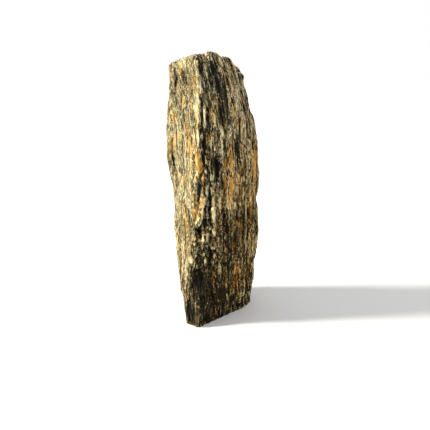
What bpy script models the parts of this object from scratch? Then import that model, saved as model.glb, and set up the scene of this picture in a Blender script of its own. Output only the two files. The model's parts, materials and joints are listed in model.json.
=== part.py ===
"""Gneiss fountain stone: one split column of banded gneiss, sawn flat underneath and core-drilled
from the sawn base to the broken top, so that a pump hose can feed water out of its head.

Frame: +Z up, the sawn base on z = 0, +X to the right and +Y to the back of the stone, with the
origin under the middle of its bounding box. Lengths are millimetres until the last step.
"""

import math

import bmesh
import bpy
from mathutils import Matrix, Vector, noise

MM = 0.001

# The drilled hole, upright through the whole stone.
BORE_DIAMETER = 24
BORE_AXIS = (-8, -2)

# How finely the column is divided: columns between two edge lines, rows up the sides, rings on top.
COLUMNS_PER_EDGE = 10
SIDE_ROWS = 42
TOP_RINGS = 4
UNIT_HOLE_RADIUS = 0.2
HOLE_SIGHT_SHARE = 0.12  # the height whose outline the hole's wall columns face

# The column's edge lines, clockwise from above, each as (height, across, back) from base to rim.
# The last entry of each line is the height of the broken rim there.
EDGE_LINES = {
    "front_arris": [
        (0, -59, -79), (50, -60, -80), (100, -55, -81), (135, -46, -82), (165, -44, -82),
        (203, -40, -82), (222, -27, -82), (300, -27, -82), (318, -23, -82), (360, -29, -80),
        (395, -30, -78), (445, -26, -75), (521, -28, -70),
    ],
    "left_face": [
        (0, -61, -28), (24, -66, -30), (48, -71, -31), (100, -72, -32), (200, -66, -34), (300, -66, -34),
        (400, -68, -32), (514, -66, -26),
    ],
    "left_edge": [
        (0, -63, 26), (24, -69, 22), (46, -76, 21), (70, -79, 20), (120, -86, 18), (200, -87, 17),
        (260, -90, 17), (330, -103, 17), (400, -102, 17), (440, -94, 17), (502, -92, 20),
    ],
    "back_left": [(0, -50, 64), (100, -60, 72), (300, -55, 78), (420, -58, 76), (497, -52, 64)],
    "back": [(0, 5, 76), (100, 8, 84), (300, 6, 86), (420, 2, 82), (504, -5, 74)],
    "back_right": [(0, 57, 60), (100, 66, 66), (300, 68, 64), (400, 58, 60), (492, 38, 54)],
    "right_edge": [
        (0, 86, 12), (90, 89, 18), (150, 97, 22), (190, 99, 22), (236, 92, 22), (268, 95, 22),
        (330, 92, 22), (400, 80, 22), (443, 68, 22), (474, 57, 20),
    ],
    "right_face": [
        (0, 52, -26), (60, 66, -18), (150, 74, -14), (330, 74, -14), (400, 64, -12),
        (450, 53, -10), (498, 42, -8),
    ],
    "front_right": [
        (0, 15, -54), (60, 24, -51), (200, 42, -46), (300, 46, -46), (400, 42, -44), (514, 28, -36),
    ],
    "front_toe": [
        (0, -33, -98), (40, -29, -93), (90, -14, -81), (200, 2, -74), (300, 6, -74),
        (400, 6, -72), (519, 0, -64),
    ],
}
# How much of each edge is rounded off, from 0 for a knife edge to 1 for a full curve.
EDGE_SOFTNESS = {
    "front_arris": 0.2, "left_face": 0.9, "left_edge": 0.4, "back_left": 0.8, "back": 1.0,
    "back_right": 0.8, "right_edge": 0.7, "right_face": 1.0, "front_right": 0.9,
    "front_toe": 0.45,
}

# The rock's fabric: layers stand upright, facing left and forward, and are drawn out along Z.
# A grain size is three lengths: across the layers, along them, and up.
LAYER_FACING = math.radians(218)
RIB_SIZE = Vector((13, 34, 120))
RIB_RELIEF = 2.6
RIB_SHARPNESS = 3.2
SLAB_SIZE = Vector((16, 30, 95))
SLAB_RELIEF = 1.6
HEAD_SIZE = Vector((17, 48, 200))
HEAD_RELIEF = 6.5
CROWN_HEIGHT = 517
FOOT_FADE = 14  # the relief dies away over this height above the sawn base
FOOT_RELIEF_SHARE = 0.45

# The craggy strip beside the arris, where splinters have broken away.
CRAG_HEIGHTS = (40, 120, 270, 350)  # fades in, full, full, fades out
CRAG_ACROSS = (-52, -30, 12, 36)
CRAG_SIZE = Vector((15, 20, 34))
CRAG_RELIEF = 8.0

# Single dents (negative) and lumps (positive): (height, across, back), half-width, half-height, relief.
SINGLE_FORMS = [
    ("hollow under the arris break", (203, -33, -80), 14, 16, -9),
    ("cleft above the hollow", (260, -20, -80), 8, 52, -6),
    ("shadowed pocket", (352, -18, -78), 9, 34, -6),
    ("orange shoulder", (330, -36, -76), 14, 26, 4),
    ("flake on the left edge", (322, -90, 2), 10, 34, 4),
    ("slot behind the flake", (316, -80, -10), 5, 30, -6),
    ("waist on the right edge", (238, 86, 20), 30, 12, -3),
    ("nick in the right edge", (96, 85, 14), 26, 8, -3),
    ("right shoulder step", (470, 58, 14), 22, 8, -3),
    ("overhang at the right foot", (14, 78, -4), 24, 16, -4),
    ("hollow beside the toe", (14, -10, -74), 11, 24, -5),
    ("missing flake on the back", (330, 2, 84), 34, 70, -7),
    ("rib down the back", (200, 40, 78), 12, 130, 6),
    ("scar low on the back left", (120, -60, 66), 26, 50, -6),
]


def line_point(line, share):
    """The point of an edge line at a share of its own height, in millimetres."""
    height = share * line[-1][0]
    for low, high in zip(line, line[1:]):
        if height <= high[0]:
            break
    part = min(1, (height - low[0]) / (high[0] - low[0]))
    across, back = (low[i] + part * (high[i] - low[i]) for i in (1, 2))
    return Vector((across, back, height))


def rounded_corner(before, corner, after, offset, softness):
    """A point near one corner of the outline, offset from -0.5 to 0.5 along its two sides."""
    side = before if offset < 0 else after
    reach = softness / 2
    if abs(offset) >= reach:
        return corner.lerp(side, abs(offset))
    start, end = corner.lerp(before, reach), corner.lerp(after, reach)
    share = (offset + reach) / (2 * reach)
    return start.lerp(corner, share).lerp(corner.lerp(end, share), share)


def outline_point(column, share):
    """The stone's outline at one column, at a share of the height from base to rim."""
    names = list(EDGE_LINES)
    place = column / COLUMNS_PER_EDGE
    nearest = round(place)
    around = [names[(nearest + step) % len(names)] for step in (-1, 0, 1)]
    before, corner, after = (line_point(EDGE_LINES[name], share) for name in around)
    return rounded_corner(before, corner, after, place - nearest, EDGE_SOFTNESS[around[1]])


def in_fabric(point, size):
    """A point in the rock's own directions, with one unit for each grain size."""
    turned = Matrix.Rotation(-LAYER_FACING, 3, "Z") @ point
    return Vector(turned[i] / size[i] for i in range(3))


def window(value, limits):
    """1 between the two middle limits, falling smoothly to 0 at the outer ones."""
    fade_in, full, still_full, fade_out = limits
    share = min((value - fade_in) / (full - fade_in), (fade_out - value) / (fade_out - still_full))
    share = max(0, min(1, share))
    return share * share * (3 - 2 * share)


def ribs(point):
    """Hard layers stand out as long upright ribs."""
    wave = noise.fractal(in_fabric(point, RIB_SIZE), 0.8, 2.1, 3)
    return RIB_RELIEF * (0.7 - RIB_SHARPNESS * abs(wave))


def slabs(point):
    """Splinters broken off at different depths leave long steps with blunt ends."""
    slab_middle = noise.voronoi(in_fabric(point, SLAB_SIZE))[1][0]
    own_cell = 7.3 * slab_middle
    return SLAB_RELIEF * noise.cell(own_cell)


def crags(point):
    """Knobs and pits of the strip beside the arris."""
    amount = window(point.z, CRAG_HEIGHTS) * window(point.x, CRAG_ACROSS)
    if point.y > 0 or amount == 0:
        return 0
    return amount * CRAG_RELIEF * noise.fractal(in_fabric(point, CRAG_SIZE), 0.7, 2.2, 3)


def single_forms(point):
    total = 0
    for _, (height, across, back), half_width, half_height, relief in SINGLE_FORMS:
        aside = math.hypot(point.x - across, point.y - back) / half_width
        up = (point.z - height) / half_height
        total += relief * math.exp(-1.4 * (aside * aside + up * up))
    return total


def side_relief(point):
    foot = min(1, FOOT_RELIEF_SHARE + point.z / FOOT_FADE)
    return foot * (ribs(point) + slabs(point) + crags(point) + single_forms(point))


def head_relief(point):
    """The head broke across the layers, so hard and soft layers end at their own heights."""
    return HEAD_RELIEF * noise.noise(in_fabric(point, HEAD_SIZE))


def unit_column():
    """A closed cylinder of radius and height 1: rows up its side, rings on top, a hole down it."""
    columns = COLUMNS_PER_EDGE * len(EDGE_LINES)
    bm = bmesh.new()
    bmesh.ops.create_cone(
        bm, cap_ends=True, segments=columns, radius1=1, radius2=1, depth=1,
        matrix=Matrix.Translation((0, 0, 0.5)),
    )
    upright = [edge for edge in bm.edges if edge.verts[0].co.z != edge.verts[1].co.z]
    bmesh.ops.subdivide_edges(bm, edges=upright, cuts=SIDE_ROWS - 1, use_grid_fill=True)
    foot, head = sorted(
        (face for face in bm.faces if len(face.verts) == columns),
        key=lambda face: face.calc_center_median().z,
    )
    to_hole = 1 - UNIT_HOLE_RADIUS
    for _ in range(TOP_RINGS):
        bmesh.ops.inset_region(bm, faces=[head], thickness=to_hole / TOP_RINGS)
    bmesh.ops.inset_region(bm, faces=[foot], thickness=to_hole)
    rims = [edge for face in (head, foot) for edge in face.edges]
    bmesh.ops.delete(bm, geom=[head, foot], context="FACES_ONLY")
    bmesh.ops.bridge_loops(bm, edges=rims)
    return bm


def unit_place(vert):
    """Where a vertex of the unit column sits: column, share of the height, share from hole to rim."""
    columns = COLUMNS_PER_EDGE * len(EDGE_LINES)
    column = round(-math.atan2(vert.co.y, vert.co.x) / math.tau * columns) % columns
    from_hole = (math.hypot(vert.co.x, vert.co.y) - UNIT_HOLE_RADIUS) / (1 - UNIT_HOLE_RADIUS)
    return column, round(vert.co.z, 5), round(from_hole, 2)


def hole_point(column, height):
    """A point on the wall of the drilled hole, on the side that faces this column near the foot."""
    across, back, _ = outline_point(column, HOLE_SIGHT_SHARE)
    turn = math.atan2(back - BORE_AXIS[1], across - BORE_AXIS[0])
    radius = BORE_DIAMETER / 2
    return Vector((
        BORE_AXIS[0] + radius * math.cos(turn), BORE_AXIS[1] + radius * math.sin(turn), height,
    ))


def smooth_place(column, share, from_hole):
    """A vertex's place on the stone before it is roughened."""
    rim = outline_point(column, share)
    if from_hole == 1:
        return rim
    height = CROWN_HEIGHT + (rim.z - CROWN_HEIGHT) * from_hole ** 1.5 if share == 1 else 0
    return hole_point(column, height).lerp(Vector((rim.x, rim.y, height)), from_hole)


def shape_column(bm):
    """Moves every vertex of the unit column to its place on the stone, then roughens the stone."""
    places = {vert: unit_place(vert) for vert in bm.verts}
    for vert, place in places.items():
        vert.co = smooth_place(*place)
    bm.normal_update()
    outward = {
        vert: Vector((vert.normal.x, vert.normal.y, 0)).normalized()
        for vert, (_, _, from_hole) in places.items() if from_hole == 1
    }
    for vert, direction in outward.items():
        vert.co += direction * side_relief(vert.co)
    for vert, (_, share, from_hole) in places.items():
        if share == 1:
            vert.co.z += head_relief(vert.co) * from_hole


def to_metres(bm):
    """Millimetres to metres, with the origin under the middle of the bounding box."""
    middle = [
        (min(v.co[axis] for v in bm.verts) + max(v.co[axis] for v in bm.verts)) / 2
        for axis in (0, 1)
    ]
    to_origin = Matrix.Translation((-middle[0], -middle[1], 0))
    bmesh.ops.transform(bm, matrix=Matrix.Scale(MM, 4) @ to_origin, verts=bm.verts)


def gneiss_material():
    material = bpy.data.materials.new("gneiss")
    material.use_nodes = True
    shader = material.node_tree.nodes["Principled BSDF"]
    shader.inputs["Base Color"].default_value = (0.23, 0.19, 0.12, 1)
    shader.inputs["Roughness"].default_value = 0.78
    shader.inputs["Metallic"].default_value = 0
    return material


def build_stone(collection):
    bm = unit_column()
    shape_column(bm)
    to_metres(bm)
    bmesh.ops.recalc_face_normals(bm, faces=bm.faces)
    mesh = bpy.data.meshes.new("gneiss_stone")
    bm.to_mesh(mesh)
    bm.free()
    mesh.shade_smooth()
    mesh.set_sharp_from_angle(angle=math.radians(35))
    mesh.materials.append(gneiss_material())
    collection.objects.link(bpy.data.objects.new("gneiss_stone", mesh))


def main():
    for obj in list(bpy.data.objects):
        bpy.data.objects.remove(obj)
    collection = bpy.data.collections.new("Gneiss_fountain_stone")
    bpy.context.scene.collection.children.link(collection)
    build_stone(collection)


main()
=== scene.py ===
# %% [markdown]
# # A gneiss fountain stone
# The stone is one split column of banded gneiss, a little over half a metre tall, sawn flat
# underneath and drilled through so that water can well out of its head. Its construction is already
# a plain faceted solid. This lesson gives that solid its skin: the fibrous relief of the split
# rock, its bands of cream, grey, black and rust, and the light that shows them.

# %% Load the construction
import math

import bmesh
import bpy
import numpy as np
from mathutils import Matrix, Vector, noise
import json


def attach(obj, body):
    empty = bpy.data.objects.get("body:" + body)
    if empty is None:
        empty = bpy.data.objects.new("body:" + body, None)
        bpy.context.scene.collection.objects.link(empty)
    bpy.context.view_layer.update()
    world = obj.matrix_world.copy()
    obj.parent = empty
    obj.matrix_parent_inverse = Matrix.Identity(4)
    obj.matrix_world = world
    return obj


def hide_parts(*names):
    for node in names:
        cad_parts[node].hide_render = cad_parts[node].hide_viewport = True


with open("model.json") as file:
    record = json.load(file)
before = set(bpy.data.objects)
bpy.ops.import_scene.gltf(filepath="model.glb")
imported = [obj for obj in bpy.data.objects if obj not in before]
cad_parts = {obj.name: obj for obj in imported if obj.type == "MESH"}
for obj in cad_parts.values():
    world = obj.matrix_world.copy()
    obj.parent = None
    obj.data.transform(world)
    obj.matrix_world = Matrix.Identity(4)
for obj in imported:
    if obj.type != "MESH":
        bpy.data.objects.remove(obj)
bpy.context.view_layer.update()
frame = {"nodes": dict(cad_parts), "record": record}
MM = 0.001

# %% [markdown]
# ## The camera
# The stone is seen from under a metre away and from nearly the height of its head. The camera looks
# down at it, so its upright edges lean together towards the foot. A longer lens from further away
# would straighten those edges and flatten the stone. The camera comes first, because every later
# choice is judged through it.

# %% Set up the camera
openings = frame["record"]["physics"]["openings"]
hole = next(opening for opening in openings if opening["name"] == "water_channel")
HOLE_AXIS = (Vector(hole["box_m"][0]) + Vector(hole["box_m"][1])) / 2
EYE_HEIGHT = 476.8 * MM
EYE_FROM_HOLE = Vector((8, -854, 0)) * MM
LOOKING_DOWN = math.radians(17.43)
SENSOR_WIDTH = 36
LENS_LENGTH = SENSOR_WIDTH  # such a lens sees 53 degrees across


def make_camera():
    lens = bpy.data.cameras.new("eye")
    lens.lens = LENS_LENGTH
    lens.sensor_width = SENSOR_WIDTH
    camera = bpy.data.objects.new("eye", lens)
    camera.location = Vector((HOLE_AXIS.x, HOLE_AXIS.y, EYE_HEIGHT)) + EYE_FROM_HOLE
    camera.rotation_euler = (math.pi / 2 - LOOKING_DOWN, 0, 0)
    bpy.context.scene.collection.objects.link(camera)
    bpy.context.scene.camera = camera
    return camera


camera = make_camera()
print("camera at", tuple(round(value, 3) for value in camera.location))

# %% [markdown]
# ## A finer mesh to carve
# The solid has a facet for every five or six millimetres around it and every twelve up it, which is
# far too coarse for rock fibres. A voxel remesh would make even squares, but it would also melt the
# sawn edge and the drilled hole. Splitting every facet edge in four keeps both exactly where they
# are, and its small triangles stay taller than wide, as the fibres are.

# %% Copy the solid and split its facets
STONE_NODE = "gneiss_stone"
CUTS_PER_EDGE = 3
MERGE_DISTANCE = 0.01 * MM


def copy_of_solid(node_name):
    bm = bmesh.new()
    bm.from_mesh(frame["nodes"][node_name].data)
    bmesh.ops.remove_doubles(bm, verts=bm.verts, dist=MERGE_DISTANCE)
    return bm


stone = copy_of_solid(STONE_NODE)
facets = len(stone.faces)
bmesh.ops.subdivide_edges(stone, edges=stone.edges, cuts=CUTS_PER_EDGE, use_grid_fill=True)
bmesh.ops.triangulate(stone, faces=stone.faces)
stone.normal_update()
print(facets, "facets became", len(stone.faces), "triangles")

# %% [markdown]
# ## Which parts were sawn and drilled
# The saw and the core drill left two smooth surfaces: the foot and the wall of the hole. They could
# be told apart by the numbers of their faces, but those change with the solid. Their places don't:
# the foot lies on the ground plane and the wall lies a drill's radius from the hole's axis.
# Everything else is split rock, and only that may be carved.

# %% Find the sawn foot and the drilled hole
HOLE_RADIUS = 12 * MM
ON_WALL = 0.3 * MM  # how near to the drill's radius counts as the wall
ON_GROUND = 0.1 * MM
LEVEL = 0.99  # how far up or down a face looks when it lies level


def from_hole_axis(point):
    return math.hypot(point.x - HOLE_AXIS.x, point.y - HOLE_AXIS.y)


def is_sawn(vert):
    """True where the saw or the drill has been, the foot's outer edge left out."""
    on_ground = abs(vert.co.z) < ON_GROUND
    on_foot = on_ground and all(abs(face.normal.z) > LEVEL for face in vert.link_faces)
    return on_foot or from_hole_axis(vert.co) < HOLE_RADIUS + ON_WALL


sawn = {vert for vert in stone.verts if is_sawn(vert)}
split = [vert for vert in stone.verts if vert not in sawn]
print(len(split), "points of split rock,", len(sawn), "of sawn and drilled rock")

# %% [markdown]
# ## Soften the facets
# A split face has no flat facets five millimetres wide. A few rounds of smoothing let the carving
# start from flowing surfaces instead. The foot's edge is held back so that the stone doesn't shrink
# away from the ground.

# %% Smooth the split rock
SMOOTHING_ROUNDS = 3
SMOOTHING = 0.5  # how far a point moves towards the middle of its neighbours


def smooth_split_rock():
    free = [vert for vert in split if vert.co.z > ON_GROUND]
    for _ in range(SMOOTHING_ROUNDS):
        bmesh.ops.smooth_vert(
            stone, verts=free, factor=SMOOTHING, use_axis_x=True, use_axis_y=True, use_axis_z=True
        )
    stone.normal_update()


smooth_split_rock()
print("smoothed", SMOOTHING_ROUNDS, "times")

# %% [markdown]
# ## The rock's own directions
# Gneiss is squeezed into layers, and within them its minerals are drawn out in one direction. Here
# the layers stand upright, face left and forward, and are drawn out straight up. So every pattern
# below is worked out in three directions: across the layers, along them, and up. Front, side and up
# would be simpler, but the layers don't face that way. Dividing by a grain's size in each direction
# stretches a plain round noise into a fibre. The upper third was bent while it was hot, so its
# fibres lean, and a slow sideways drift keeps the rest from being ruler straight. That drift is
# random, so it gets a seed, and every run then carves the same stone.

# %% Turn a place on the stone into the rock's directions
LAYER_FACING = math.radians(218)
layer_direction = Vector((math.cos(LAYER_FACING), math.sin(LAYER_FACING), 0))
BEND_START = 350 * MM
BEND = 1.0  # metres sideways for each squared metre above the start
DRIFT = 3.0 * MM
DRIFT_LENGTH = Vector((60, 60, 150)) * MM
DRIFT_SEED = 3

noise.seed_set(DRIFT_SEED)  # without a seed, noise_vector starts from the clock


def divided(point, size):
    return Vector(value / length for value, length in zip(point, size))


def in_rock(point):
    """Across the layers, along them, and up, in metres, with the bend and the slow drift added."""
    unbent = point + Vector((BEND * max(0, point.z - BEND_START) ** 2, 0, 0))
    turned = Matrix.Rotation(-LAYER_FACING, 3, "Z") @ unbent
    return turned + DRIFT * noise.noise_vector(divided(point, DRIFT_LENGTH))


print("layers face", round(math.degrees(LAYER_FACING)), "degrees round from +X")

# %% [markdown]
# ## Fibres and splinters
# Two shapes repeat all over the split rock. Fibres are rounded ribs with sharp grooves between
# them: the absolute value of a smooth noise does that, because it folds sharply where the noise
# passes zero. Splinters are long flakes that broke off at different depths: Voronoi cells, each with
# a random depth, give their blunt ends and their clean sides. Both could be painted as a
# displacement texture, but functions can be asked again later, when the same splinters get their
# colours.

# %% Relief of fibres and splinters
FIBRES = [  # size across the layers, along them and up, then relief, all in millimetres
    ((3.6, 4.4, 34), 1.5),
    ((8, 10, 80), 1.2),
]
SPLINTERS = [
    ((4.5, 6, 38), 1.4),
    ((10, 15, 90), 1.6),
]
FIBRE_MIDDLE = 0.45  # taken off so that fibres don't swell the stone
FIBRE_SHIFT = Vector((17.3, 0, 0))  # keeps the two sizes of fibre from lining up
CELL_SPREAD = 9.7  # takes neighbouring cells so far apart that each draws its own number
GROOVE_WIDTH = 0.16
GROOVE_DEPTH = 0.7


def fibre_relief(place):
    """Rounded ribs and sharp grooves, in millimetres, about zero on average."""
    total = 0
    for number, (size, relief) in enumerate(FIBRES):
        grain = divided(place, Vector(size) * MM) + FIBRE_SHIFT * number
        total += relief * (2 * abs(noise.noise(grain)) - FIBRE_MIDDLE)
    return total


def splinter(place, size):
    """The splinter at a place: its own random number from -1 to 1, and the distance to its edge."""
    distances, middles = noise.voronoi(divided(place, Vector(size) * MM))
    own_number = noise.cell(middles[0] * CELL_SPREAD)
    return own_number, distances[1] - distances[0]


def groove(to_edge, width):
    """1 on the edge of a splinter, falling to 0 at the groove's width from it."""
    return max(0, 1 - to_edge / width)


def splinter_relief(place):
    """Flakes broken off at their own depths, with a groove round each, in millimetres."""
    total = 0
    for size, relief in SPLINTERS:
        own_number, to_edge = splinter(place, size)
        edge = groove(to_edge, GROOVE_WIDTH)
        total += relief * (own_number - GROOVE_DEPTH * edge * edge)
    return total


print("ribs every", FIBRES[0][0][0], "mm across the layers, splinters", SPLINTERS[0][0][2], "mm long")

# %% [markdown]
# ## The craggy strip
# Beside the front arris the rock broke across its grain, and left knobs, pits and chips instead of
# long fibres. Sculpting could shape them one by one, but it can't be read or repeated. The strip
# gets splinters of its own instead, chunks at most twice as tall as wide, roughened by a noise of
# several sizes. Smooth windows fade them in and out, so no border shows.

# %% Relief of the craggy strip
CRAG_HEIGHTS = (60, 140, 290, 375)  # in millimetres: fades in, full, full, fades out
CRAG_ACROSS = (-48, -32, 12, 32)
CRAG_FRONT = -20 * MM  # what lies behind this isn't craggy
CRAG_RELIEF = 4.2
CRAG_CHUNK = (4, 5, 8)
CHUNK_SHARE = 0.8
CHUNK_GROOVE_WIDTH = 0.2
CHUNK_GROOVE_DEPTH = 0.5
ROUGH_SIZE = (9, 9, 16)
ROUGH_SHARE = 0.8
ROUGH_NOISE = (0.8, 2.1, 3)  # how smooth, how much finer each size is, how many sizes


def clamped(value):
    return max(0, min(1, value))


def window(value, limits):
    """1 between the two middle limits, falling smoothly to 0 at the outer ones."""
    fade_in, full, still_full, fade_out = limits
    rise = (value - fade_in) / (full - fade_in)
    fall = (fade_out - value) / (fade_out - still_full)
    share = clamped(min(rise, fall))
    return share * share * (3 - 2 * share)


def cragginess(point):
    """1 in the middle of the craggy strip, 0 outside it."""
    if point.y > CRAG_FRONT:
        return 0
    return window(point.z / MM, CRAG_HEIGHTS) * window(point.x / MM, CRAG_ACROSS)


def crag_relief(place):
    own_number, to_edge = splinter(place, CRAG_CHUNK)
    rough = noise.fractal(divided(place, Vector(ROUGH_SIZE) * MM), *ROUGH_NOISE)
    edge = groove(to_edge, CHUNK_GROOVE_WIDTH)
    return CRAG_RELIEF * (CHUNK_SHARE * own_number + ROUGH_SHARE * rough - CHUNK_GROOVE_DEPTH * edge)


print("crags from", CRAG_HEIGHTS[0], "to", CRAG_HEIGHTS[3], "mm up")

# %% [markdown]
# ## Scars that have a place
# Some forms aren't a pattern. A cleft opens beside the arris, a flake has lifted at the left edge,
# and chips and pockets sit between the crags. Each is a soft-edged oval with a place, a size
# and a depth, which is easier to move and to read than sculpted points. A scar also names the
# mineral that colours it and how strongly. The pits, clefts, pockets, hollows and gaps get black
# mica, which paints the shade that falls into them, and a rib stands proud because it is hard
# quartz. Lengths are in millimetres, and the lean is how far an oval moves to the right for each
# millimetre up.

# %% Relief of single scars
SCARS = [  # (across, up, half width, half height, lean), relief, mineral, strength
    ("cleft, upper part", (-24, 305, 2, 11, 0), -7, "mica", 1.3),
    ("cleft, lower part", (-26, 280, 3, 13, 0.1), -9, "mica", 1.35),
    ("cleft, tip", (-29, 266, 2, 6, 0.1), -7, "mica", 1.3),
    ("crack in the orange shoulder", (-37, 341, 2, 7, 0.4), -5, "mica", 1.3),
    ("pocket under the cleft", (-18, 215, 4, 10, -0.1), -5, "mica", 1.2),
    ("pocket left of it", (-30, 200, 5, 5, -0.7), -5, "mica", 1.2),
    ("knob between the pockets", (-26, 205, 2, 4, 0), 3, None, 0),
    ("pit at the arris", (-23, 390, 3, 9, -0.1), -5, "mica", 1.35),
    ("pit below it", (-17, 365, 3.5, 15, -0.05), -6, "mica", 1.35),
    ("third pit", (-19, 340, 3, 10, -0.1), -5, "mica", 1.25),
    ("fourth pit", (-11, 321, 3, 7, -0.4), -4, "mica", 1.2),
    ("knob right of the pits", (-5, 370, 3, 10, 0), 3, "quartz", 0.9),
    ("broad dark pocket", (6, 320, 6, 24, -0.1), -6, "mica", 1.1),
    ("cream rib beside the cleft", (-21, 255, 3, 22, 0), 5, "quartz", 1.35),
    ("cream rib in the middle", (0, 245, 3.5, 30, -0.05), 6, "quartz", 1.4),
    ("second cream rib", (12, 255, 2.5, 16, 0), 4, "quartz", 1.35),
    ("lower cream rib", (-21, 185, 3, 17, 0), 4, "quartz", 1.15),
    ("gap beside the cream rib", (-16, 240, 2.5, 24, 0), -5, "mica", 1.25),
    ("gap between the ribs", (-7, 250, 3, 25, -0.05), -5, "mica", 1.25),
    ("gap right of the ribs", (19, 230, 3.5, 18, -0.1), -5, "mica", 1.2),
    ("upper chip", (0, 198, 3.5, 6, 0), 6, "quartz", 1.3),
    ("golden chip", (-3, 164, 3.5, 4, 0), 6, "quartz", 1.25),
    ("white chip", (1, 145, 3.5, 5, 0), 8, "quartz", 1.45),
    ("beige chip", (-16, 140, 3, 7, 0), 6, "quartz", 1.2),
    ("pale knob", (-32, 163, 3, 9, 0), 3, "quartz", 1.1),
    ("hollow round the chips", (-5, 150, 7, 13, -0.15), -3, "mica", 1.15),
    ("dark hollow low in the middle", (28, 195, 5, 18, -0.15), -4, "mica", 1.15),
    ("hollow in the right foot", (54, 14, 7, 14, 0), -5, None, 0),
    ("groove beside the arris, upper", (-20, 490, 2, 16, 0), -2, "mica", 0.5),
    ("groove beside the arris, middle", (-20, 420, 1.5, 26, 0), -4, "mica", 0.95),
    ("beige slab", (-16, 415, 2.5, 22, 0), 3, "quartz", 0.9),
    ("groove right of the beige slab", (-11, 415, 2, 22, 0), -3, "mica", 1.0),
    ("quartz lens, upper", (2, 410, 2.5, 13, -0.1), 3, "quartz", 1.45),
    ("quartz lens, lower", (15, 387, 3.5, 10, -0.3), 3, "quartz", 1.4),
    ("edge of the left flake", (-81, 325, 2, 20, -0.2), -3, "mica", 0.9),
    ("split in the upper left", (-70, 475, 2.5, 13, 0.15), -4, "mica", 1.15),
    ("notch in the right shoulder", (45, 494, 4, 4, 0), -6, None, 0),
    ("knob below the notch", (52, 482, 4, 5, 0), 4, "mica", 1.2),
]
SCAR_EDGE = 1.1
SCAR_STEEPNESS = 1.6
SCAR_FRONT = 20 * MM  # what lies behind this has no scars


def scar_share(point, oval):
    """How strongly a scar acts at a point of the front: 1 in its middle, 0 well outside it."""
    across, up, half_width, half_height, lean = oval
    above = point.z / MM - up
    aside = (point.x / MM - across - lean * above) / half_width
    return math.exp(-SCAR_EDGE * (aside * aside + (above / half_height) ** 2) ** SCAR_STEEPNESS)


def scar_relief(point):
    """The relief of all scars at a point, in millimetres."""
    if point.y > SCAR_FRONT:
        return 0
    return sum(relief * scar_share(point, oval) for _, oval, relief, _, _ in SCARS)


print(len(SCARS), "scars")

# %% [markdown]
# ## The broken head
# The head broke across the layers, so each splinter ends at its own height. A plain noise would
# round that into dunes. Voronoi cells, so tall that each keeps one height, make a field of small
# steps instead, which runs out to the rim and gives the outline its little teeth.

# %% Relief of the head
HEAD_STEP = 3.0
HEAD_SPLINTER = (5, 12, 400)
HEAD_SPLINTER_SHARE = 0.8
HEAD_GROOVE_WIDTH = 0.15
HEAD_GROOVE_DEPTH = 0.4
HEAD_GRAIN = (3, 5, 6)
HEAD_GRAIN_SHARE = 0.35


def head_relief(place):
    own_number, to_edge = splinter(place, HEAD_SPLINTER)
    grain = noise.noise(divided(place, Vector(HEAD_GRAIN) * MM))
    edge = groove(to_edge, HEAD_GROOVE_WIDTH)
    height = HEAD_SPLINTER_SHARE * own_number + HEAD_GRAIN_SHARE * grain - HEAD_GROOVE_DEPTH * edge
    return HEAD_STEP * height


farthest = round(HEAD_STEP * HEAD_SPLINTER_SHARE, 1)
print("head splinters end up to", farthest, "mm above or below their middle height")

# %% [markdown]
# ## Carve
# Every point of split rock moves along its own outward direction by the sum of its reliefs. A
# displacement modifier could do that too, but moving the points here lets the same numbers colour
# them later. The head's steps move straight up, which is how its splinters end. Where the rock meets
# a machined surface its relief fades: out altogether at the drilled hole, and to about a third at
# the foot, whose edge moves level so that the stone keeps standing flat.

# %% Move the points
HOLE_FADE = 6 * MM
FOOT_FADE = 6 * MM
FOOT_SHARE = 0.35
CLEAVED_CALM = 0.80  # how much calmer a face is where it runs along the layers
CRAG_CALM = 0.5  # how much calmer the fibres are in the craggy strip
HEAD_START = 420 * MM  # nothing below this is part of the head
HEAD_TILT = 0.35  # how far up a face looks where the head begins
HEAD_TILT_FADE = 0.3
RIM_START = 450 * MM
RIM_FADE = 50 * MM
RIM_SHARE = 0.25  # how much of the head's steps the sides below it share


def headness(vert):
    """1 on the head, 0 on the sides."""
    return clamped((vert.normal.z - HEAD_TILT) / HEAD_TILT_FADE) if vert.co.z > HEAD_START else 0


def side_relief(point, outward):
    """The relief of the split sides at a point, in millimetres."""
    place = in_rock(point)
    crag = cragginess(point)
    along_layer = abs(outward.dot(layer_direction))
    grain = (1 - CLEAVED_CALM * along_layer) * (fibre_relief(place) + splinter_relief(place))
    return (1 - CRAG_CALM * crag) * grain + crag * crag_relief(place) + scar_relief(point)


cleaved_of = {vert: abs(vert.normal.dot(layer_direction)) for vert in stone.verts}
relief_of = {}
moves = {}
for vert in split:
    head = headness(vert)
    side = side_relief(vert.co, vert.normal)
    step = head_relief(in_rock(vert.co)) if vert.co.z > HEAD_START else 0
    near_hole = min(1, (from_hole_axis(vert.co) - HOLE_RADIUS) / HOLE_FADE)
    near_foot = min(1, FOOT_SHARE + vert.co.z / FOOT_FADE)
    outward = vert.normal.copy()
    if vert.co.z < ON_GROUND:
        outward.z = 0
    rim = clamped((vert.co.z - RIM_START) / RIM_FADE) * (RIM_SHARE + (1 - RIM_SHARE) * head)
    sideways = outward * side * (1 - head) * near_foot
    moves[vert] = near_hole * (sideways + Vector((0, 0, step * rim))) * MM
    relief_of[vert] = side * (1 - head) + step * head
for vert, move in moves.items():
    vert.co += move
stone.normal_update()
lowest, highest = min(relief_of.values()), max(relief_of.values())
print("relief from", round(lowest, 1), "to", round(highest, 1), "mm")

# %% [markdown]
# ## Where the colours lie
# Colour follows the same structure as relief: each splinter is one mineral mix, so it gets one
# tone, and proud splinters are mostly the pale hard ones. On top of that single streaks stand out
# and give this stone its face: quartz lenses, gold and orange iron seams, and black bands of mica.
# They could be painted by hand, but an oval with a place and a size, as the scars are, can be read
# and moved by its numbers. A noise makes its edge ragged.

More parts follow.
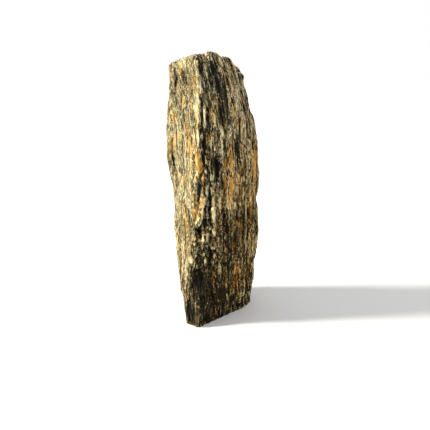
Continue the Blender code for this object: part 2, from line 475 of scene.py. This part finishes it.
# %% Streaks that have a place
def scar_streaks(mineral):
    """The scars that hold a mineral, as streaks of it."""
    return [(*oval, strength) for _, oval, _, held, strength in SCARS if held == mineral]


QUARTZ_STREAKS = scar_streaks("quartz") + [  # across, up, half width, half height, lean, strength
    (-30, 430, 5, 30, 0, 0.95),       # cream slab along the arris
    (-23, 465, 2, 15, -0.05, 1.2),
    (-28, 380, 3, 22, 0, 1.0),
    (-36, 375, 2, 14, 0, 0.9),
    (16, 370, 1.5, 10, 0.15, 1.0),    # tail of the lower lens
    (6, 430, 1.5, 11, -0.1, 0.9),
    (26, 450, 1.5, 20, -0.05, 0.8),
    (23, 503, 2.5, 4, -0.5, 0.8),     # under the head's rim
    (14, 508, 2, 7, -0.2, 1.0),
    (34, 506, 2, 6, -0.5, 1.0),
    (-58, 508, 7, 9, 0, 0.8),
    (-31, 330, 1.5, 22, -0.15, 0.9),  # in the orange shoulder
    (-14, 316, 2, 4, 0, 1.15),
    (-84, 320, 2.5, 14, -0.2, 0.9),   # left face
    (-56, 260, 1.5, 15, 0, 0.9),
    (-62, 145, 4, 24, 0, 0.7),
    (-56, 105, 3.5, 22, 0, 0.7),
    (-45, 140, 4.5, 10, -0.1, 1.2),
    (14, 275, 1.5, 10, -0.1, 0.9),    # between the ribs and chips
    (-9, 200, 1.5, 18, 0, 1.0),
    (-14, 185, 1.5, 12, 0, 1.0),
    (12, 110, 4.5, 10, -0.25, 1.0),
    (0, 80, 1.5, 13, 0, 1.05),        # pale streaks and chips of the foot
    (-31, 20, 1.5, 18, 0, 0.95),
    (-37, 45, 1.5, 14, 0, 0.9),
    (27, 48, 2, 4, 0, 1.15),
    (42, 20, 2, 8, -0.1, 1.05),
    (57, 30, 2, 14, 0, 1.05),
    (66, 45, 2, 20, 0, 0.95),
    (54, 440, 26, 60, -0.1, 0.42),    # paler fields of the right face
    (62, 290, 26, 95, 0, 0.32),
]
IRON_SEAMS = [
    (-27, 330, 6, 24, -0.15, 1.15),   # orange shoulder and its tail
    (-19, 305, 2, 11, -0.1, 1.1),
    (-25, 255, 2.5, 14, 0.2, 1.0),
    (-9, 380, 2.5, 6, 0, 1.0),
    (23, 330, 3, 13, 0, 1.25),        # golden seams of the front
    (23, 285, 3, 22, -0.05, 1.25),
    (33, 335, 3, 25, 0, 1.25),
    (34, 280, 3.5, 29, -0.05, 1.3),
    (26, 220, 2, 14, -0.05, 0.9),
    (44, 400, 2, 15, 0, 1.1),
    (36, 420, 2, 9, -0.05, 1.0),
    (25, 405, 1.5, 12, 0, 0.9),
    (82, 320, 5, 42, 0, 1.1),         # golden right edge
    (77, 235, 3, 45, 0, 0.95),
    (72, 85, 5, 42, 0, 1.0),
    (46, 205, 3, 8, -0.1, 1.3),       # orange spots
    (55, 194, 3.5, 9, -0.2, 1.35),
    (41, 160, 4.5, 13, -0.15, 0.95),
    (49, 85, 7, 30, -0.1, 0.9),
    (-1, 105, 2, 18, 0.05, 1.1),
    (25, 85, 1.5, 32, 0, 1.15),       # golden threads of the foot
    (42, 70, 3, 12, 0, 1.2),
    (52, 40, 2.5, 15, -0.1, 1.1),
    (7, 514, 2, 5, -0.3, 1.0),
    (36, 503, 2.5, 6, -0.5, 1.2),
    (-45, 365, 2.5, 17, -0.1, 1.2),   # orange threads of the left face
    (-34, 475, 2, 9, -0.1, 1.0),
    (-31, 457, 2, 3, 0, 1.2),
    (-56, 440, 2, 11, -0.1, 0.9),
    (-63, 460, 1.5, 10, 0, 0.9),
    (-60, 495, 2, 11, 0, 0.8),
    (-43, 419, 2, 4, 0, 1.0),
    (-52, 395, 2, 11, -0.1, 0.9),
    (-69, 375, 2, 9, -0.1, 0.9),
    (-85, 355, 3, 13, 0, 0.9),
    (-58, 290, 2, 14, 0.1, 1.0),
    (-35, 300, 2, 9, -0.15, 1.0),
    (-39, 265, 2.5, 10, -0.2, 0.9),
    (-38, 230, 3, 16, 0, 0.95),
    (-55, 200, 2.5, 28, 0, 1.1),
    (-28, 235, 2.5, 14, -0.15, 1.0),
    (50, 190, 60, 150, 0, 0.18),      # faint stain over the shaded faces
    (0, 60, 90, 90, 0, 0.14),
]
# the sunken scars bring their black mica along: painted shade in pits, clefts, pockets and gaps
MICA_BANDS = scar_streaks("mica") + [
    (1, 495, 9, 17, -0.3, 1.05),      # black band down from the head
    (7, 470, 6, 21, -0.15, 1.15),
    (15, 425, 6, 30, -0.15, 1.25),
    (12, 460, 13, 46, -0.2, 0.95),
    (24, 475, 2.5, 11, -0.25, 0.9),
    (29, 510, 2, 5, -0.6, 1.0),
    (-6, 470, 2, 13, -0.1, 0.6),
    (1, 430, 2, 10, 0, 0.8),          # short threads of the front
    (6, 400, 2, 12, -0.1, 0.9),
    (34, 435, 2.5, 9, 0, 1.0),
    (37, 410, 2, 7, 0, 0.9),
    (49, 405, 1.5, 16, 0, 0.8),
    (41, 355, 2.5, 16, -0.05, 1.1),
    (21, 370, 2, 16, 0, 1.0),
    (9, 380, 2, 11, 0, 0.9),
    (-16, 311, 2.5, 6, -0.4, 1.1),
    (31, 150, 5.5, 30, -0.1, 1.0),
    (48, 215, 2, 11, 0, 1.1),
    (64, 205, 2.5, 17, 0, 1.0),
    (-73, 492, 3.5, 7, -0.15, 1.0),   # dark threads of the left face
    (-28, 513, 4, 5, -0.4, 1.0),
    (-48, 215, 2, 16, 0, 1.0),
    (-41, 372, 2, 7, 0, 1.0),
    (-72, 440, 2, 8, 0, 0.9),
    (-24, 446, 1.5, 5, 0, 1.1),       # notches in the cream slab
    (-23, 420, 1.5, 3, 0, 1.1),
    (-27, 432, 1.5, 3, 0, 1.0),
    (-26, 398, 1.5, 4, 0, 1.0),
    (-31, 408, 1.5, 4, 0, 1.0),
    (-34, 440, 1.5, 6, 0, 0.8),
    # painted shade: the bands down to the greyer fields darken the low front, its left corner and its
    # pockets, laid on as black mica
    (-4, 40, 62, 150, 0, 0.88),       # dark foot
    (-24, 90, 19, 44, -0.05, 1.05),
    (-40, 90, 10, 48, 0, 1.15),
    (-50, 35, 6, 34, 0, 1.3),         # black corner and pockets of the foot
    (36, 30, 7, 12, 0, 1.15),
    (54, 8, 6, 7, 0, 1.2),
    (-30, 20, 42, 26, 0, 0.95),
    (19, 45, 13, 33, -0.1, 0.9),
    (60, 80, 30, 60, 0, 0.6),
    (-62, 450, 26, 60, 0, 0.3),       # greyer fields
    (-60, 190, 26, 60, 0, 0.2),
    # painted shade: this field darkens the lower right face
    (52, 185, 44, 56, 0, 0.74),
    (-4, 330, 20, 110, 0, 0.25),
]
STREAK_EDGE = 0.9
RAGGEDNESS = 0.8
RAG_SIZE = (2.6, 2.6, 7)


def streak_share(point, streaks):
    """How strongly the front's placed streaks colour a point."""
    ragged = 1 + RAGGEDNESS * noise.noise(divided(point, Vector(RAG_SIZE) * MM))
    strongest = 0
    for across, up, half_width, half_height, lean, strength in streaks:
        above = point.z / MM - up
        aside = (point.x / MM - across - lean * above) / half_width
        reach = (aside * aside + (above / half_height) ** 2) * ragged
        strongest = max(strongest, strength * math.exp(-STREAK_EDGE * reach * reach))
    return strongest


print(len(QUARTZ_STREAKS), "quartz,", len(IRON_SEAMS), "iron and", len(MICA_BANDS), "mica streaks")

# %% [markdown]
# ## Streaks everywhere else
# Behind the placed streaks the whole stone, back included, carries the same three minerals at
# random. Placing every one would take many hundreds. A long narrow noise that only counts above a
# threshold gives seams that begin, swell and end, as real ones do.

# %% Random streaks
RANDOM_STREAKS = {  # size in millimetres, threshold, shift of the pattern, share kept in front
    "quartz": ((4, 5, 60), 0.34, 11.5, 0.7),
    "iron": ((4, 5, 70), 0.24, 31.5, 0.6),
    "mica": ((7, 8, 110), 0.24, 71.5, 0.6),
}
PLACED_STREAKS = {"quartz": QUARTZ_STREAKS, "iron": IRON_SEAMS, "mica": MICA_BANDS}
STREAK_NOISE = (0.9, 2.0, 2)  # how smooth, how much finer each size is, how many sizes
STREAK_FADE = 0.22
STREAK_FRONT = 25 * MM  # placed streaks lie in front of this


def random_streak(place, size, threshold, shift):
    shifted = divided(place, Vector(size) * MM) + Vector((0, 0, shift))
    return clamped((noise.fractal(shifted, *STREAK_NOISE) - threshold) / STREAK_FADE)


def mineral_amounts(point):
    """How strongly quartz, iron and mica colour a point, by name, each from 0 to about 1.4."""
    place = in_rock(point)
    amounts = {}
    for mineral, (size, threshold, shift, share_in_front) in RANDOM_STREAKS.items():
        amounts[mineral] = random_streak(place, size, threshold, shift)
        if point.y < STREAK_FRONT:
            placed = streak_share(point, PLACED_STREAKS[mineral])
            amounts[mineral] = max(share_in_front * amounts[mineral], placed)
    return amounts


print("random streaks of", ", ".join(RANDOM_STREAKS))

# %% [markdown]
# ## Numbers on the points
# A material can't call these functions, so their answers are worked out once for every point and
# stored on the mesh under plain names that the material can read. Vertex colours could carry them
# too, but a colour holds three numbers and here there are eight. Besides the minerals and the relief
# they are the tone of a point's splinters, the tone of the craggy strip's chunks, whether the point
# is sawn, and its cleavage: how far its face ran along the layers before it was carved. Such a face
# split cleanly, and its colours are calmer.

# %% Store the numbers on the points
MIDDLE_TONE = 0.5
SMALL_SPLINTER_SHARE = 0.3
LARGE_SPLINTER_SHARE = 0.2


def splinter_tone(point):
    """The tone of a point's splinters, from 0 to 1."""
    place = in_rock(point)
    small, large = (splinter(place, size)[0] for size, _ in SPLINTERS)
    return MIDDLE_TONE + SMALL_SPLINTER_SHARE * small + LARGE_SPLINTER_SHARE * large


def chunk_tone(point):
    """The tone of the craggy strip's own chunks, from -1 to 1, and 0 outside the strip."""
    amount = cragginess(point)
    return amount * splinter(in_rock(point), CRAG_CHUNK)[0] if amount else 0.0


def numbers_of(vert):
    return {
        "splinter": splinter_tone(vert.co),
        **mineral_amounts(vert.co),
        "relief": relief_of.get(vert, 0),
        "cleavage": cleaved_of[vert],
        "chunk": chunk_tone(vert.co),
        "sawn": 1.0 if vert in sawn else 0.0,
    }


rows = [numbers_of(vert) for vert in stone.verts]
numbers = {name: np.array([row[name] for row in rows], dtype=np.float32) for name in rows[0]}
for name, values in numbers.items():
    print(name, "from", round(float(values.min()), 2), "to", round(float(values.max()), 2))

# %% [markdown]
# ## The stone as one object
# So far the carved stone was a mesh in memory. It becomes one object, as the real stone is one piece
# of rock, and takes the numbers with it. Flat shading would show every triangle, so it is shaded
# smooth.

# %% Make the stone's object
def make_stone_object():
    mesh = bpy.data.meshes.new("split_gneiss")
    stone.to_mesh(mesh)
    for name, values in numbers.items():
        mesh.attributes.new(name, "FLOAT", "POINT").data.foreach_set("value", values)
    mesh.shade_smooth()
    piece = bpy.data.objects.new("split_gneiss", mesh)
    bpy.context.scene.collection.objects.link(piece)
    return piece


piece = make_stone_object()
stone.free()
print("one piece of", len(piece.data.polygons), "triangles")

# %% [markdown]
# ## Building a material in code
# A material is a chain of nodes. It could be wired by hand in the node editor, but a long chain is
# easier to read as code if small helpers build it: one adds a node and fills its sockets, some do
# arithmetic, one reads a number that was stored on the points, and the last ones mix colours and
# turn a number into a colour.

# %% Helpers for nodes
material = bpy.data.materials.new("split gneiss")
material.use_nodes = True
tree = material.node_tree
shader = tree.nodes["Principled BSDF"]
MIX_SHARE, MIX_FIRST, MIX_SECOND, MIX_RESULT = 0, 6, 7, 2  # the colour sockets of a Mix node


def add(kind, sockets=None, **settings):
    """A node of that kind. Its sockets are filled: another node's socket links, a value is set."""
    node = tree.nodes.new("ShaderNode" + kind)
    for name, value in settings.items():
        setattr(node, name, value)
    for name, value in (sockets or {}).items():
        if isinstance(value, bpy.types.NodeSocket):
            tree.links.new(value, node.inputs[name])
        else:
            node.inputs[name].default_value = value
    return node


def calc(operation, first, second, clamp=False):
    return add("Math", {0: first, 1: second}, operation=operation, use_clamp=clamp).outputs[0]


def plus(first, second, clamp=False):
    return calc("ADD", first, second, clamp)


def minus(first, second, clamp=False):
    return calc("SUBTRACT", first, second, clamp)


def times(first, second, clamp=False):
    return calc("MULTIPLY", first, second, clamp)


def sum_of(parts, start=0.0):
    total = start
    for part in parts:
        total = plus(part, total)
    return total


def rising(value, start, steepness):
    """0 up to the start, rising to 1 after it."""
    return times(minus(value, start), steepness, clamp=True)


def falling(value, end, steepness):
    """0 from the end on, rising to 1 before it."""
    return times(minus(end, value), steepness, clamp=True)


def about_middle(value, amount):
    """A number from 0 to 1, moved to lie about zero and multiplied by an amount."""
    return times(minus(value, 0.5), amount)


def stored(name):
    return add("Attribute", attribute_name=name, attribute_type="GEOMETRY").outputs["Fac"]


def mixed(way, share, first, second):
    """Two colours, joined in that way as far as the share goes."""
    sockets = {MIX_SHARE: share, MIX_FIRST: first, MIX_SECOND: second}
    node = add("Mix", sockets, data_type="RGBA", blend_type=way, clamp_factor=True)
    return node.outputs[MIX_RESULT]


def blend_of(share, first, second):
    """The first colour, turning into the second as the share goes from 0 to 1."""
    return mixed("MIX", share, first, second)


def tinted(colour, share, tint):
    """The colour, multiplied by a tint as far as the share goes."""
    return mixed("MULTIPLY", share, colour, tint)


def colour_scale(value, stops):
    """A colour for every value, blended between stops."""
    ramp = add("ValToRGB", {"Fac": value})
    elements = ramp.color_ramp.elements
    while len(elements) < len(stops):
        elements.new(0)
    for element, (position, colour) in zip(elements, stops):
        element.position = position
        element.color = (*colour, 1)
    return ramp.outputs["Color"]


print("material", material.name, "is ready")

# %% [markdown]
# ## Grain in the rock's directions
# The material bends and turns its coordinates the way the relief does, so its fine fibres run with
# the carved ones. A Mapping node turns first and a second one stretches, because one node alone
# stretches before it turns. Two noises shift the coordinates a little: a wide one lets the fibres
# wander, and a fine one frays their edges.

# %% Turned and stretched coordinates
WANDER_SCALE = 14.0
WANDER = 8 * MM
FRAY_SCALE = 420.0
FRAY = Vector((2.2, 2.2, 11)) * MM
HALF = (0.5, 0.5, 0.5)


def vector_calc(operation, first, second):
    return add("VectorMath", {0: first, 1: second}, operation=operation).outputs[0]


def shift_noise(place, scale):
    """A noise of three numbers that lie about zero."""
    values = add("TexNoise", {"Vector": place, "Scale": scale, "Detail": 1.0}).outputs["Color"]
    return vector_calc("SUBTRACT", values, HALF)


where = add("TexCoord").outputs["Object"]
height_up = add("SeparateXYZ", {0: where}).outputs["Z"]
bent_height = calc("MAXIMUM", minus(height_up, BEND_START), 0.0)
leaning = times(calc("POWER", bent_height, 2.0), BEND)
unbent = vector_calc("ADD", where, add("CombineXYZ", {"X": leaning}).outputs[0])
turned = add("Mapping", {"Vector": unbent, "Rotation": (0, 0, -LAYER_FACING)}).outputs[0]
wander = vector_calc("MULTIPLY", shift_noise(turned, WANDER_SCALE), (WANDER, WANDER, WANDER))
fray = vector_calc("MULTIPLY", shift_noise(turned, FRAY_SCALE), FRAY)
rock = vector_calc("ADD", vector_calc("ADD", turned, wander), fray)


def stretched(size):
    """Coordinates that count one unit for each grain of this size, in millimetres."""
    scale = tuple(1 / (length * MM) for length in size)
    return add("Mapping", {"Vector": rock, "Scale": scale}).outputs[0]


def grain_noise(size, detail=2.0, roughness=0.5):
    sockets = {"Vector": stretched(size), "Scale": 1.0, "Detail": detail, "Roughness": roughness}
    return add("TexNoise", sockets).outputs["Fac"]


def grain_edge(size):
    """How far a place is from the edge of its own grain of this size: 0 on the edge."""
    cells = add("TexVoronoi", {"Vector": stretched(size), "Scale": 1.0}, feature="DISTANCE_TO_EDGE")
    return cells.outputs["Distance"]


def grain_cells(size):
    """Three random numbers for each grain of this size, the same all over the grain."""
    cells = add("TexVoronoi", {"Vector": stretched(size), "Scale": 1.0}, feature="F1")
    return add("SeparateColor", {0: cells.outputs["Color"]}).outputs


print("coordinates turned by", round(math.degrees(LAYER_FACING)), "degrees")

# %% [markdown]
# ## The grain of the rock
# Close up, gneiss is a weave: hair-fine fibres, longer ones, broad bands, lenses that are each one
# mineral, small flecks, and dark gaps between the lenses. A ready-made rock pattern could be wrapped
# round, but it would repeat and not follow the relief. So each of these is a noise or a Voronoi
# pattern, and the grain is their sum, with a little of the splinters' tone. A face that runs along
# the layers shows their flat sides, so its long fibres fade and its bands are weaker.

# %% Add up the grain
LENS_SIZE = (2.5, 2.6, 28)
GAP_STEEPNESS = 7.0
hair = grain_noise((0.9, 1.0, 6), detail=3.0, roughness=0.65)
fibre = grain_noise((1.6, 1.9, 52), detail=2.5, roughness=0.6)
band = grain_noise((8, 14, 150))
small_lens = grain_cells((1.5, 1.5, 12))
large_lens = grain_cells(LENS_SIZE)
long_lens = grain_cells((2.4, 2.6, 64))
fleck = grain_cells((1.6, 1.5, 2.8))[0]
gap = minus(1.0, times(grain_edge(LENS_SIZE), GAP_STEEPNESS), clamp=True)
cleaved = rising(stored("cleavage"), start=0.60, steepness=2.8)
fibrous = minus(1.0, cleaved)
band_share = minus(1.0, times(cleaved, 0.6))
grain_parts = [
    about_middle(hair, amount=1.7),
    times(about_middle(fibre, amount=1.3), fibrous),
    times(about_middle(long_lens[0], amount=0.34), fibrous),
    times(about_middle(band, amount=0.60), band_share),
    about_middle(small_lens[0], amount=0.62),
    about_middle(large_lens[0], amount=0.24),
    about_middle(fleck, amount=0.44),
    about_middle(stored("splinter"), amount=0.14),
    times(gap, -0.16),
]
grain = sum_of(grain_parts)
print(len(grain_parts), "patterns make the grain")

# %% [markdown]
# ## The tone
# All the grey, cream and black minerals lie on one scale from dark mica to pale feldspar, so one
# number, the tone, can carry them all. It is the grain, with more contrast at the foot and less on
# cleaved faces and on those that cut straight across the layers. To it come the height of the
# relief, which is painted light and shade: proud ribs are paler and grooves darker. The craggy
# strip's chunks and the streaks come too. Cleaved faces are a little paler, partly as weathered
# layer faces and partly as painted light, because they face the lamp. The foot is a little darker,
# which is painted shade. Inside black mica one long lens in five is spared by half, which leaves
# pale threads in it.

# %% Add up the tone
BASE_TONE = 0.51
SPARED_FROM = 0.80
SPARED_SHARE = 0.5
spared = calc("GREATER_THAN", long_lens[1], SPARED_FROM)
mica_here = times(stored("mica"), minus(1.0, times(spared, SPARED_SHARE)))
across_layers = falling(stored("cleavage"), end=0.38, steepness=4.0)
at_foot = falling(height_up, end=0.24, steepness=6.0)
contrast = minus(1.42, times(cleaved, 0.58))
contrast = minus(contrast, times(across_layers, 0.36))
contrast = plus(contrast, times(at_foot, 0.28))
tone_parts = [
    times(grain, contrast),
    # painted light and shade: the relief makes proud ribs paler and grooves darker
    times(stored("relief"), 0.05),
    times(stored("chunk"), 0.31),
    # partly painted light: cleaved faces face the lamp, and this makes them a little paler
    times(cleaved, 0.13),
    # painted shade: the foot is a little darker
    times(at_foot, -0.05),
    times(mica_here, -0.40),
    times(stored("quartz"), 0.25),
    times(stored("iron"), 0.08),
]
tone = sum_of(tone_parts, start=BASE_TONE)
print(len(tone_parts), "parts make the tone")

# %% [markdown]
# ## Streaks with a body
# What was added so far only lightens or darkens the grain. Adding more would reach the mineral's
# tone at some grains and overshoot it at others. In the middle of a strong streak the grain gives way
# to the mineral itself, so there the tone is drawn towards the mineral's own. A power keeps faint
# streaks mere stains, and hair fibres fray the edge. The cap on a streak's strength is lower for iron
# and quartz, because at full strength their grain is lost and they look moulded.

# %% Draw the tone towards the streaks' minerals
IRON_TONE, MICA_TONE, QUARTZ_TONE = 0.74, 0.07, 0.99
PULL_POWER = 3.0
PULL_BY_HAIR = 1.4
PULL_EVERYWHERE = 0.3
CAP = 1.4
LOWER_CAP = 1.08


def pulled(tone, amount, mineral_tone, strength, most):
    """The tone, drawn towards a mineral's own tone where its streak is, with a frayed edge."""
    share = calc("POWER", calc("MINIMUM", amount, most), PULL_POWER)
    share = times(share, plus(times(hair, PULL_BY_HAIR), PULL_EVERYWHERE))
    share = times(share, strength, clamp=True)
    return plus(tone, times(share, minus(mineral_tone, tone)))


tone = pulled(tone, stored("iron"), IRON_TONE, strength=0.55, most=LOWER_CAP)
tone = pulled(tone, mica_here, MICA_TONE, strength=0.50, most=CAP)
tone = pulled(tone, stored("quartz"), QUARTZ_TONE, strength=0.62, most=LOWER_CAP)
print("tone drawn towards iron, mica and quartz")

# %% [markdown]
# ## From tone to colour
# Each mineral could have a colour of its own, but their grains run into one another, and a scale
# gives every step between. Two scales turn the tone into colour: one for clean rock, from black mica
# over grey to cream feldspar, and one for rock with iron stain, from dark brown to gold.

# %% The two colour scales
CLEAN_COLOURS = [  # tone, then red, green and blue
    (0.00, (0.005, 0.006, 0.005)),
    (0.20, (0.018, 0.019, 0.015)),
    (0.38, (0.066, 0.060, 0.038)),
    (0.54, (0.160, 0.135, 0.077)),
    (0.72, (0.32, 0.282, 0.160)),
    (0.88, (0.54, 0.495, 0.290)),
    (1.00, (0.80, 0.76, 0.54)),
]
STAINED_COLOURS = [
    (0.00, (0.008, 0.005, 0.003)),
    (0.22, (0.030, 0.017, 0.007)),
    (0.40, (0.110, 0.056, 0.014)),
    (0.56, (0.28, 0.145, 0.024)),
    (0.76, (0.59, 0.305, 0.048)),
    (1.00, (0.84, 0.58, 0.25)),
]
clean_rock = colour_scale(tone, CLEAN_COLOURS)
stained_rock = colour_scale(tone, STAINED_COLOURS)
print("colour scales of", len(CLEAN_COLOURS), "and", len(STAINED_COLOURS), "stops")

# %% [markdown]
# ## Where the iron stain is
# Iron stain is strongest in the seams, where fine fibres break it up. A fainter one follows long
# streaks and some of the lenses all over the stone. One even wash of rust would be simpler, but it
# would look painted on. The faint stain is kept out of the black mica high up, which is clean.

# %% Spread the stain
STAINED_LENS_FROM = 0.72
low_down = falling(height_up, end=0.45, steepness=2.8)
stain_grain = grain_noise((1.6, 2.2, 36), detail=3.0, roughness=0.6)
seam_stain = times(stored("iron"), plus(times(stain_grain, 1.6), 0.35))
streak_stain = rising(grain_noise((2.8, 3.6, 70)), start=0.50, steepness=6.0)
streak_stain = times(streak_stain, plus(0.32, times(fibrous, 0.12)))
lens_stain = times(calc("GREATER_THAN", large_lens[1], STAINED_LENS_FROM), 0.26)
high_mica = times(mica_here, minus(1.0, low_down))
outside_high_mica = minus(1.0, high_mica, clamp=True)
faint_stain = times(plus(streak_stain, lens_stain), outside_high_mica)
stain = plus(seam_stain, faint_stain, clamp=True)
print("stain spread over seams, streaks and lenses")

# %% [markdown]
# ## Tints
# Stained and clean rock are mixed, and tints go over both. They could be worked into the scales, but
# as tints each can change alone. Long lenses are a little cooler or warmer than their neighbours,
# which keeps the greys alive. Chlorite lays a faint green over patches. The fibrous faces get a
# faint rosy tint away from mica, which is the painted colour of shade on the front and right. Low
# down, where rock stays damp and weathers, a faint ochre goes on.

# %% Colour of the split rock
COOL_LENS = (0.90, 1.00, 1.10, 1)
WARM_LENS = (1.10, 0.98, 0.84, 1)
CHLORITE_TINT = (0.84, 0.95, 0.80, 1)
FIBROUS_SHADE_TINT = (1.0, 0.95, 0.97, 1)
OCHRE_TINT = (1.0, 0.98, 0.83, 1)
MOST_STAIN = 0.92
chlorite = rising(grain_noise((5, 12, 40)), start=0.45, steepness=1.8)
away_from_mica = minus(1.0, times(stored("mica"), 0.7), clamp=True)
lens_tint = blend_of(long_lens[2], COOL_LENS, WARM_LENS)
split_colour = blend_of(times(stain, MOST_STAIN), clean_rock, stained_rock)
split_colour = tinted(split_colour, 1.0, lens_tint)
split_colour = tinted(split_colour, chlorite, CHLORITE_TINT)
# painted shade colour: a faint rosy tint on the fibrous faces
split_colour = tinted(split_colour, times(fibrous, away_from_mica), FIBROUS_SHADE_TINT)
split_colour = tinted(split_colour, times(fibrous, low_down), OCHRE_TINT)
print("stain and tints added")

# %% [markdown]
# ## Sawn rock
# Where the saw and drill went the crystals are cut through: the same colours, but flatter and
# greyer. A second material could show that, but the part has one slot, and a blend needs no seam.
# The drill left fine rings on the wall of the hole, which a wave pattern up its height gives.

# %% Colour of the sawn rock
SAWN_GREY = (0.24, 0.23, 0.20, 1)
SAWN_GREY_SHARE = 0.55
RING_SCALE = 160.0
RING_WOBBLE = 0.6
sawn_share = stored("sawn")
sawn_colour = blend_of(SAWN_GREY_SHARE, split_colour, SAWN_GREY)
final_colour = blend_of(sawn_share, split_colour, sawn_colour)
tree.links.new(final_colour, shader.inputs["Base Color"])
ring_sockets = {"Vector": where, "Scale": RING_SCALE, "Distortion": RING_WOBBLE}
rings = add("TexWave", ring_sockets, bands_direction="Z").outputs["Fac"]
print("sawn finish added")

# %% [markdown]
# ## Sheen and fine relief
# Dry gneiss is dull, but mica flakes glint and quartz is glassy, so roughness drops on a few random
# flecks, on the quartz and on the sawn rock. Fibres, flecks, small lenses and the gaps between
# lenses are too fine for the mesh. More triangles could show them, but it would take far too many,
# so a bump does. The sawn rock has only its rings.

# %% Roughness and bump
DULL = 0.84
GLINT_FROM = 0.93
SHEEN = 0.07
BUMP_STRENGTH = 0.9
BUMP_DEPTH = 1.1 * MM
mica_glint = calc("GREATER_THAN", fleck, GLINT_FROM)
roughness = minus(DULL, times(mica_glint, 0.42))
roughness = minus(roughness, times(stored("quartz"), 0.22))
roughness = minus(roughness, times(sawn_share, 0.15))
tree.links.new(roughness, shader.inputs["Roughness"])
shader.inputs["Specular IOR Level"].default_value = SHEEN

split_height = sum_of([
    times(hair, 0.8),
    times(fibre, 1.2),
    times(fleck, 0.22),
    times(small_lens[0], 0.35),
    times(gap, -0.5),
])
split_height = times(split_height, minus(1.0, sawn_share))
sawn_height = times(times(rings, 0.12), sawn_share)
height = plus(split_height, sawn_height)
bump = add("Bump", {"Height": height, "Strength": BUMP_STRENGTH, "Distance": BUMP_DEPTH})
tree.links.new(bump.outputs[0], shader.inputs["Normal"])
piece.data.materials.append(material)
print("roughness and bump linked")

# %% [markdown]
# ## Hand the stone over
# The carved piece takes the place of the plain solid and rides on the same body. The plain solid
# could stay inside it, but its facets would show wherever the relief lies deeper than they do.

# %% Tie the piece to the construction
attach(piece, "root")
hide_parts(STONE_NODE)
print("the piece stands for", STONE_NODE)

# %% [markdown]
# ## Floor and light
# A plain pale floor keeps attention on the stone. The light comes from the left, from 36 degrees up
# and hardly in front, so that it strikes the left face full on and only grazes the right one, where
# every fibre then throws its own small shadow. An area lamp close by would fade down a tall stone, so
# this is a sun lamp, seven degrees wide to soften its shadows. A pale surround fills them.

# %% Make the floor and the lights
FLOOR_SIDE = 40.0
FLOOR_PAINT = (0.62, 0.62, 0.61)
FLOOR_ROUGHNESS = 0.9
KEY_DIRECTION = Vector((-0.80, -0.03, 0.58)).normalized()
KEY_WIDTH = math.radians(7)
KEY_STRENGTH = 6.5
KEY_COLOUR = (1.0, 0.96, 0.86)
SURROUND_COLOUR = (1.0, 1.0, 1.0)
SURROUND_STRENGTH = 1.0


def make_floor():
    bm = bmesh.new()
    bmesh.ops.create_grid(bm, x_segments=1, y_segments=1, size=FLOOR_SIDE / 2)
    mesh = bpy.data.meshes.new("floor")
    bm.to_mesh(mesh)
    bm.free()
    paint = bpy.data.materials.new("pale floor")
    paint.use_nodes = True
    surface = paint.node_tree.nodes["Principled BSDF"]
    surface.inputs["Base Color"].default_value = (*FLOOR_PAINT, 1)
    surface.inputs["Roughness"].default_value = FLOOR_ROUGHNESS
    mesh.materials.append(paint)
    floor = bpy.data.objects.new("floor", mesh)
    bpy.context.scene.collection.objects.link(floor)


def make_lights():
    lamp = bpy.data.lights.new("key", "SUN")
    lamp.angle = KEY_WIDTH
    lamp.energy = KEY_STRENGTH
    lamp.color = KEY_COLOUR
    key = bpy.data.objects.new("key", lamp)
    key.rotation_euler = KEY_DIRECTION.to_track_quat("Z", "Y").to_euler()
    bpy.context.scene.collection.objects.link(key)
    world = bpy.data.worlds.new("surround")
    world.use_nodes = True
    background = world.node_tree.nodes["Background"]
    background.inputs["Color"].default_value = (*SURROUND_COLOUR, 1)
    background.inputs["Strength"].default_value = SURROUND_STRENGTH
    bpy.context.scene.world = world


make_floor()
make_lights()
bpy.context.scene.view_settings.view_transform = "Standard"
print("floor and lights made")

# %% [markdown]
# ## Finish
# The skin stands proud of the solid in some places and lies inside it in others, but the two must
# still fill the same space.

# %% Finish
import json
